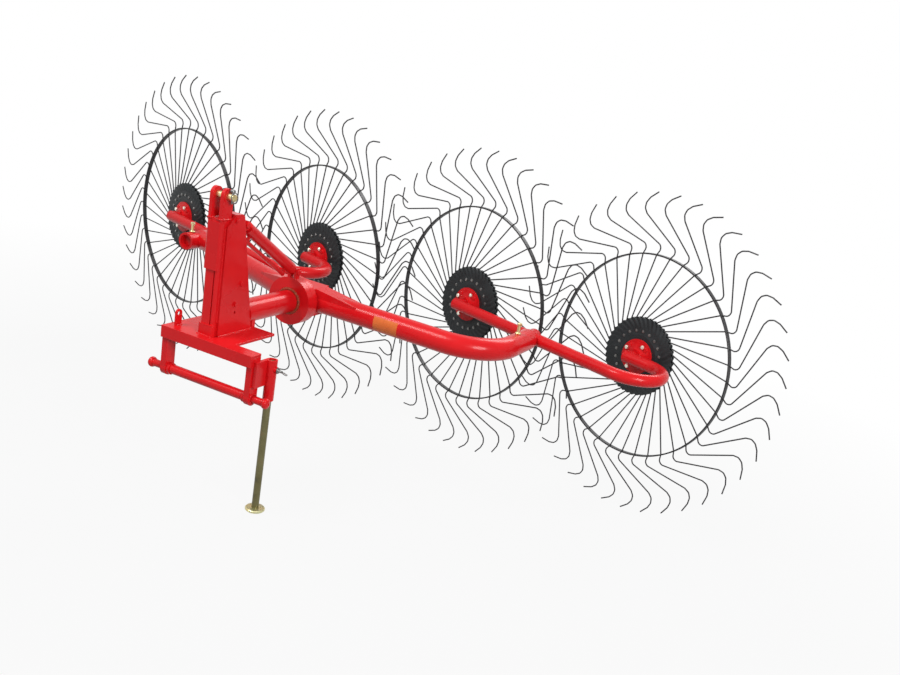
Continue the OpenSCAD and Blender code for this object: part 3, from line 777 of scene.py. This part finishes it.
# %% [markdown]
# ## Weld beads
# The frame is welded from plate and tube, and its seams show under the paint
# as rippled beads. A bump map could fake them, but a bead has to stand out at
# a corner, and it follows a path. So one tree resamples the path, swells the
# radius with a sine of the index and sweeps a small circle along it. All the
# seams of one body run through the tree together.

# %% Weld tree
BEAD_STEP, RIPPLE, RIPPLE_TURN, BEAD_SIDES = 0.0035, 0.22, 1.9, 6

weld_tree, given, result = shape_tree(
    "weld_beads", ("Bead Radius", "Float", 0.0035), ("Step", "Float", BEAD_STEP),
    ("Ripple", "Float", RIPPLE), ("Material", "Material", None))
path = weld_tree.nodes.new("GeometryNodeMeshToCurve")
even = weld_tree.nodes.new("GeometryNodeResampleCurve")
even.mode = "LENGTH"
index = weld_tree.nodes.new("GeometryNodeInputIndex").outputs[0]
wave = math_node(weld_tree, "SINE", math_node(weld_tree, "MULTIPLY", index, RIPPLE_TURN), 0.0)
swell = math_node(weld_tree, "ADD", math_node(weld_tree, "MULTIPLY", wave, given["Ripple"]), 1.0)
section = add_node(weld_tree, "GeometryNodeCurvePrimitiveCircle", Resolution=BEAD_SIDES)
sweep = add_node(weld_tree, "GeometryNodeCurveToMesh", Fill_Caps=True)
connect(
    weld_tree,
    (given["Geometry"], path.inputs[0]), (path.outputs[0], even.inputs["Curve"]),
    (given["Step"], even.inputs["Length"]), (even.outputs[0], sweep.inputs["Curve"]),
    (given["Bead Radius"], section.inputs["Radius"]), (section.outputs[0], sweep.inputs["Profile Curve"]),
    (swell, sweep.inputs["Scale"]))
end_tree(weld_tree, sweep.outputs[0], given["Material"], result)

# %% Seam helpers
BEAD_R = 0.0035


def line(*points):
    """An open path through the points."""
    return points, False


def ring_path(centre, axis, r, points=40):
    """A closed path round an axis."""
    place = along(centre, axis)
    return [place @ spot for spot in circle(r, points)], True


def sweep_paths(name, paths, bead, ripple, material):
    """One mesh of beads or wires along all the given paths."""
    verts, edges = [], []
    for points, closed in paths:
        first = len(verts)
        verts += [tuple(point) for point in points]
        edges += [(i, i + 1) for i in range(first, len(verts) - 1)]
        if closed:
            edges.append((len(verts) - 1, first))
    base = bpy.data.meshes.new(name + "_paths")
    base.from_pydata(verts, edges, [])
    return run_tree(weld_tree, base, name, Bead_Radius=bead, Step=BEAD_STEP, Ripple=ripple, Material=material)


def welds(name, body, paths, bead=BEAD_R, material=red_enamel):
    """One piece of rippled beads along the paths."""
    mesh = sweep_paths(name, paths, bead, RIPPLE, material)
    print(name, len(mesh.polygons), "faces")
    return add_piece(name, mesh, body, material, smooth=60)


print("a bead has a point every", BEAD_STEP, "m and a radius of", BEAD_R, "m")

# %% [markdown]
# ## Headstock seams
# The mast stands on the base channel, the ears of the top link stand on the
# mast, and the hitch bar goes through the two legs. Each joint has its bead:
# straight lines along plates, rectangles round the ears and rings round the
# tubes. The weld between the swivel tube and its flange is the coarsest, and
# burnt scale shows through its paint.

# %% Headstock seams
POST_HALF, EAR_T, EAR_W, CAP_T, LEG_T, BAR_R = 0.033, 0.013, 0.054, 0.010, 0.024, 0.018
POST_EDGE, POST_SEAM, EYE_PLATE_IN, FLANGE_T = 0.029, (0.05, 0.39), 0.036, 0.030
FLANGE_BEAD, FLANGE_CORNER, BAR_CORNER = 0.0070, 0.003, 0.001

base_low, base_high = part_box("base_channel")
post_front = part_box("mast_post")[0].y
eye_low, eye_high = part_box("eye_bracket")
bar_low, bar_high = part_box("hitch_bar")
bar_middle = (bar_low + bar_high) / 2
seams = []
for side in (-1, 1):
    foot_x, post_x = MAST_X + side * SIDE_OUT, MAST_X + side * POST_EDGE
    seams.append(line((foot_x, side_low.y, BASE_Z), (foot_x, side_high.y, BASE_Z)))
    seams.append(line(*((post_x, side_low.y, BASE_Z + up) for up in POST_SEAM)))
seams.append(line(*((MAST_X + side * POST_HALF, post_front, BASE_Z) for side in (-1, 1))))
seams.append(line(*((base_low.x + EYE_PLATE_IN, y, BASE_Z) for y in (eye_low.y, eye_high.y))))
for inner, outer in ((base_low.x + LEG_T, base_low.x), (base_high.x - LEG_T, base_high.x)):
    for x, r in ((inner, BAR_R + BAR_CORNER), (outer, BAR_R)):
        seams.append(ring_path((x, bar_middle.y, bar_middle.z), (1, 0, 0), r))
low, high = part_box("top_clevis")
for left in (low.x, high.x - EAR_T):
    foot = [(left + a * EAR_T, low.y + b * EAR_W, low.z + CAP_T) for a, b in ((0, 0), (1, 0), (1, 1), (0, 1))]
    seams.append((foot, True))
welds("headstock_welds", "headstock", seams)
flange_face = (MAST_X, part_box("pivot_tube")[1].y - FLANGE_T, HUB_Z)
welds("flange_weld", "headstock", [ring_path(flange_face, (0, 1, 0), BOOM_R + FLANGE_CORNER)],
      FLANGE_BEAD, weld_scale)

# %% [markdown]
# ## Boom seams
# The boom's round right branch is welded to a thick block, and the block to
# the swivel flange. A ring and a rectangle on the block's own corners give
# both seams.

# %% Boom seams
BOOM_BEAD = 0.004

low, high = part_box("boom_block")
BOOM_Y = (low.y + high.y) / 2
block_corners = ((low.x, low.z), (low.x, high.z), (high.x, high.z), (high.x, low.z))
block_edge = [Vector((x, low.y, z)) for x, z in block_corners]
branch_ring = ring_path((high.x, BOOM_Y, HUB_Z), (1, 0, 0), BOOM_R + BAR_CORNER)
welds("boom_welds", "boom", [branch_ring, (block_edge, True)], BOOM_BEAD)

# %% [markdown]
# ## Rocking arm seams
# An axle boss leaves each round arm twice, and the arm itself leaves the
# collar of its pivot at both ends. Where two round tubes meet, the seam is a
# saddle and not a circle, so each point is worked out from the two radii.

# %% Rocking arm seams
ARM_R, ARM_GAP, BOSS_R, COLLAR_R = 0.0255, 0.075, 0.0245, 0.0325
SEAM_POINTS, ARM_BEAD = 36, 0.0032


def boss_seam(x, y):
    """The saddle line where an axle boss leaves the round arm."""
    spots = circle(BOSS_R, SEAM_POINTS)
    return [Vector((x + s.x, y + math.sqrt(ARM_R ** 2 - s.y ** 2), s.y)) for s in spots]


def collar_seam(centre, run, end):
    """The line where the arm leaves the pivot's collar, at one end."""
    side = Vector((-run.y, run.x, 0))
    seam = []
    for spot in circle(ARM_R, SEAM_POINTS):
        x = end * math.sqrt(COLLAR_R ** 2 - spot.y ** 2)
        reach = (x - spot.x * side.x) / run.x
        seam.append(centre + run * reach + side * spot.x + spot.y * UP)
    return seam


for name, first in (("front", 1), ("rear", 3)):
    place = wheel_place(first)
    second_hub = place.inverted() @ Vector(joints["wheel_%d_spin" % (first + 1)]["pos_m"])
    bosses = (boss_seam(0, -ARM_GAP), boss_seam(second_hub.x, second_hub.y - ARM_GAP))
    seams = [([place @ point for point in boss], True) for boss in bosses]
    run = place.to_3x3() @ Vector((1, 0, 0))
    start = place @ Vector((0, -ARM_GAP, 0))
    pivot_x = joints["rocker_%s_pivot" % name]["pos_m"][0]
    centre = start + run * ((pivot_x - start.x) / run.x)
    seams += [(collar_seam(centre, run, end), True) for end in (-1, 1)]
    welds("rocker_%s_welds" % name, "rocker_" + name, seams, ARM_BEAD)

# %% [markdown]
# ## Lock handle of the stand
# The stand is locked by a slim pin with a long wire loop to pull. The pin is
# turned, and the loop is a closed path, so the lathe and the weld tree, with
# no ripple, make the two halves of one piece.

# %% Lock handle
LOOP_IN, LOOP_START, LOOP_SHORT, LOOP_HALF, LOOP_DROP = 0.002, 0.046, 0.002, 0.0055, 0.006
HANDLE_WIRE = 0.0019
# Share of the loop's length and of its half width
LOOP = ((0.2, 0.6), (0.5, 1.0), (0.8, 0.9), (0.97, 0.4), (0.97, -0.4), (0.8, -0.9), (0.5, -1.0), (0.2, -0.6))
PIN = ((0, 0.0138), (0.005, 0.0138), (0.006, 0.0150), (0.006, 0.0265), (0.0105, 0.0266), (0.011, 0.0275),
       (0.011, 0.0305), (0.010, 0.0315), (0.0058, 0.0318), (0.0046, 0.0330), (0.0046, 0.0455),
       (0.0036, 0.0480), (0, 0.0485))

low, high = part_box("stand_lock_pin")
lock_z = (low.z + high.z) / 2
loop_long = high.x - LOOP_SHORT - LOOP_START
loop = [Vector((LOOP_START + LOOP_IN, 0, lock_z))]
for far, wide in LOOP:
    loop.append(Vector((LOOP_START + far * loop_long, wide * LOOP_HALF, lock_z - far * LOOP_DROP)))
handle = sweep_paths("stand_lock_handle", [(loop, True)], HANDLE_WIRE, 0.0, dull_steel)
add_to_mesh(handle, lambda bm: lathe(bm, PIN, along((0, 0, lock_z), (1, 0, 0)), sides=20))
piece = add_piece("stand_lock_handle", handle, "headstock", dull_steel)
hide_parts("stand_lock_pin")
print("lock handle", len(handle.polygons), "faces")

# %% [markdown]
# ## Linch pin
# A peg with a thin ring keeps the top link pin in its ears. The ring snaps
# over the end of the pin and stands a little open. It is the same wire sweep
# as the handle, with a turned peg and a turned eye.

# %% Linch pin
PEG_R, PEG_IN, EYE_R, EYE_DOWN, EYE_OUT = 0.004, 0.008, 0.0072, 0.008, 0.001
LINCH_R, LINCH_WIRE, LINCH_OUT, LINCH_UP, LINCH_TILT = 0.0172, 0.0019, 0.010, 0.001, 0.12
PEG = ((0, -0.022), (0.0022, -0.022), (PEG_R, -0.0185), (PEG_R, 0.0200), (0, 0.0200))
EYE_BLOCK = ((0, -0.0072), (0.0058, -0.0072), (EYE_R, -0.0058), (EYE_R, 0.0058), (0.0058, 0.0072),
             (0, 0.0072))

low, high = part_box("linch_pin")
pin_low, pin_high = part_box("top_link_pin")
peg = Vector((low.x + PEG_IN, (low.y + high.y) / 2, (pin_low.z + pin_high.z) / 2))
linch_ring = ring_path(peg + Vector((LINCH_OUT, 0, LINCH_UP)), (1, 0, LINCH_TILT), LINCH_R)
linch = sweep_paths("linch_ring_pin", [linch_ring], LINCH_WIRE, 0.0, dull_steel)


def linch_peg(bm):
    lathe(bm, PEG, Matrix.Translation(peg), sides=16)
    lathe(bm, EYE_BLOCK, along((peg.x + EYE_OUT, peg.y, high.z - EYE_DOWN), (1, 0, 0)), sides=20)


add_to_mesh(linch, linch_peg)
piece = add_piece("linch_ring_pin", linch, "headstock", dull_steel)
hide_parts("linch_pin")
print("linch pin", len(linch.polygons), "faces")

# %% [markdown]
# ## Knobs on the hitch bar
# Round forged heads end the hitch bar, each with a neck and a small centre
# mark from the lathe. A sphere would look like a ball, so the profile keeps
# the groove and the flattened crown.

# %% Bar knobs
KNOB = ((0, -0.020), (0.0148, -0.020), (0.0152, -0.0185), (0.0152, -0.0165), (0.0146, -0.015),
        (0.0146, -0.0135), (0.0178, -0.0120), (0.0192, -0.0095), (0.0196, -0.0055), (0.0190, -0.0015),
        (0.0168, 0.0022), (0.0125, 0.0045), (0.0060, 0.0055), (0.0055, 0.0040), (0, 0.0038))


def bar_knobs(bm):
    for x, way in ((bar_high.x, 1), (bar_low.x, -1)):
        lathe(bm, KNOB, along((x, bar_middle.y, bar_middle.z), (way, 0, 0)))


knobs = new_mesh("hitch_bar_knobs", bar_knobs)
add_piece("hitch_bar_knobs", knobs, "headstock", red_enamel)
print("bar knobs", len(knobs.polygons), "faces")

# %% [markdown]
# ## Hub caps
# A pressed cap with a grease nipple closes each hub behind. Cap and nipple
# are round, so they are one profile, set on the hub's rear face along its own
# axle.

# %% Hub caps
HUB_BACK = 0.04755
CAP = ((0, -0.002), (0.0245, -0.002), (0.0250, 0.0005), (0.0245, 0.0030), (0.0215, 0.0062), (0.0140, 0.0085),
       (0.0050, 0.0092), (0.0045, 0.0120), (0.0030, 0.0126), (0.0030, 0.0160), (0.0041, 0.0172),
       (0.0036, 0.0192), (0.0015, 0.0204), (0, 0.0205))

for k in WHEELS:
    place = wheel_place(k)
    seat = along(place @ Vector((0, HUB_BACK, 0)), place.to_3x3() @ Vector((0, 1, 0)))
    cap = new_mesh("hub_cap", lambda bm: lathe(bm, CAP, seat, sides=28))
    add_piece("wheel_%d_hub_cap" % k, cap, "wheel_%d" % k, yellow_zinc)
print("hub caps", len(cap.polygons), "faces each")

# %% [markdown]
# ## Blank label
# A small orange film wraps the front of the boom. It stays blank here. A film
# follows the tube, so it is a thin curved slab, a part of a turn wide, a hair
# above the paint.

# %% Blank label
LABEL_X, LABEL_TURN = (0.092, 0.200), (-46, 34)
FILM_RADII = (BOOM_R + 0.0006, BOOM_R - 0.0007)
LABEL_COLUMNS, LABEL_ROWS = 8, 16


def between(ends, share):
    return ends[0] + (ends[1] - ends[0]) * share


def blank_label(bm):
    """Two curved skins, closed all round by a rim."""
    skins = []
    for r in FILM_RADII:
        grid = []
        for i in range(LABEL_COLUMNS + 1):
            x = between(LABEL_X, i / LABEL_COLUMNS)
            turns = [math.radians(between(LABEL_TURN, j / LABEL_ROWS)) for j in range(LABEL_ROWS + 1)]
            grid.append([bm.verts.new((x, BOOM_Y - r * math.cos(a), HUB_Z + r * math.sin(a))) for a in turns])
        skins.append(grid)
        for a, b in zip(grid, grid[1:]):
            for j in range(LABEL_ROWS):
                bm.faces.new((a[j], b[j], b[j + 1], a[j + 1]))
    outer, inner = skins
    rim = [(i, 0) for i in range(LABEL_COLUMNS)] + [(LABEL_COLUMNS, j) for j in range(LABEL_ROWS)]
    rim += [(i, LABEL_ROWS) for i in range(LABEL_COLUMNS, 0, -1)] + [(0, j) for j in range(LABEL_ROWS, 0, -1)]
    for (a, b), (c, d) in zip(rim, rim[1:] + rim[:1]):
        bm.faces.new((outer[a][b], outer[c][d], inner[c][d], inner[a][b]))


label = new_mesh("boom_blank_label", blank_label)
add_piece("boom_blank_label", label, "boom", orange_film)
print("blank label", len(label.polygons), "faces")

# %% [markdown]
# ## Eased edges
# Cut plate never keeps a knife edge: the burr is ground off and the paint
# rounds it further, so each edge shows a thin line of light. The sawn shapes
# could be drawn again with rounded corners, but a copy of each solid, with a
# narrow bevel on its sharp edges only, stays exactly where the solid is.

# %% Eased edges
EASE, SHARP, COPLANAR, SMOOTH_UNDER = 0.0016, math.radians(40), math.radians(0.5), 50
MERGE, TINY_EDGE = 1e-5, 1e-5
EASED = {"headstock": ("mast_sides", "mast_back", "mast_post", "top_clevis", "base_channel", "hitch_legs",
                       "eye_bracket", "tube_saddle", "stand_sleeve", "pivot_tube", "brace_strut"),
         "boom": ("boom_flange", "boom_block")}
EASED.update({"wheel_%d" % k: ("wheel_%d_hub" % k,) for k in WHEELS})


def eased(name):
    """A copy of a solid with its sharp edges narrowly bevelled."""
    bm = bmesh.new()
    bm.from_mesh(nodes[name].data)
    bmesh.ops.remove_doubles(bm, verts=bm.verts, dist=MERGE)
    bmesh.ops.dissolve_limit(bm, angle_limit=COPLANAR, verts=bm.verts, edges=bm.edges)
    edges = [e for e in bm.edges if e.is_manifold and e.calc_face_angle() > SHARP]
    bmesh.ops.bevel(bm, geom=edges, offset=EASE, offset_type="OFFSET", segments=2, profile=0.5,
                    affect="EDGES", clamp_overlap=True)
    bmesh.ops.dissolve_degenerate(bm, edges=bm.edges, dist=TINY_EDGE)
    mesh = bpy.data.meshes.new(name + "_eased")
    bm.to_mesh(mesh)
    bm.free()
    mesh.shade_smooth()
    mesh.set_sharp_from_angle(angle=math.radians(SMOOTH_UNDER))
    holder = put_in_scene(name + "_maker", mesh)
    holder.modifiers.new("flat_faces", "WEIGHTED_NORMAL").keep_sharp = True
    return evaluated_mesh(holder, name + "_eased")


face_count = 0
for body, names in EASED.items():
    for name in names:
        piece = add_piece(name + "_eased", eased(name), body, red_enamel, smooth=SMOOTH_UNDER)
        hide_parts(name)
        face_count += len(piece.data.polygons)
print("eased edges", face_count, "faces")

# %% [markdown]
# ## Sizes
# The looks must not change the machine's size, so the box of what shows now
# is printed.

# %% Sizes and finish
low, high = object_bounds()
print("visual box", [round(v, 4) for v in (*low, *high)])
